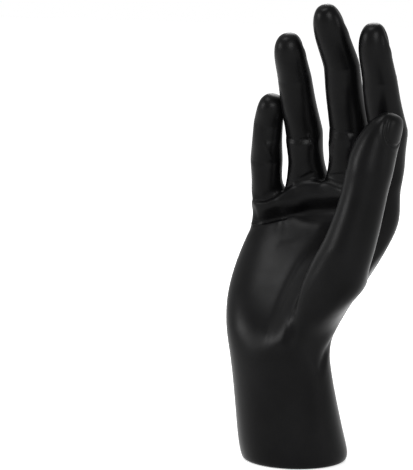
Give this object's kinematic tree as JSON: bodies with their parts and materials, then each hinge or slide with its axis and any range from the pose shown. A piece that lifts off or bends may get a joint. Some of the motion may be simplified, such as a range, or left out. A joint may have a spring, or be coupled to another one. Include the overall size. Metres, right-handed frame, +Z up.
{
  "type": "hand jewelry stand",
  "caption": "Black display hand for rings and bracelets: an open right hand with fingers up and palm forward, standing on the flat cut end of its forearm.",
  "frame": {"origin": "centre of the flat foot under the forearm", "axes": "+Z up along the forearm and fingers, palm towards -Y, thumb side towards +X"},
  "size_m": [0.0963, 0.0668, 0.2192],
  "materials": {
    "satin_black_resin": "satin black, smooth"
  },
  "bodies": {
    "root": {"display_hand": "satin_black_resin"}
  },
  "joints": []
}
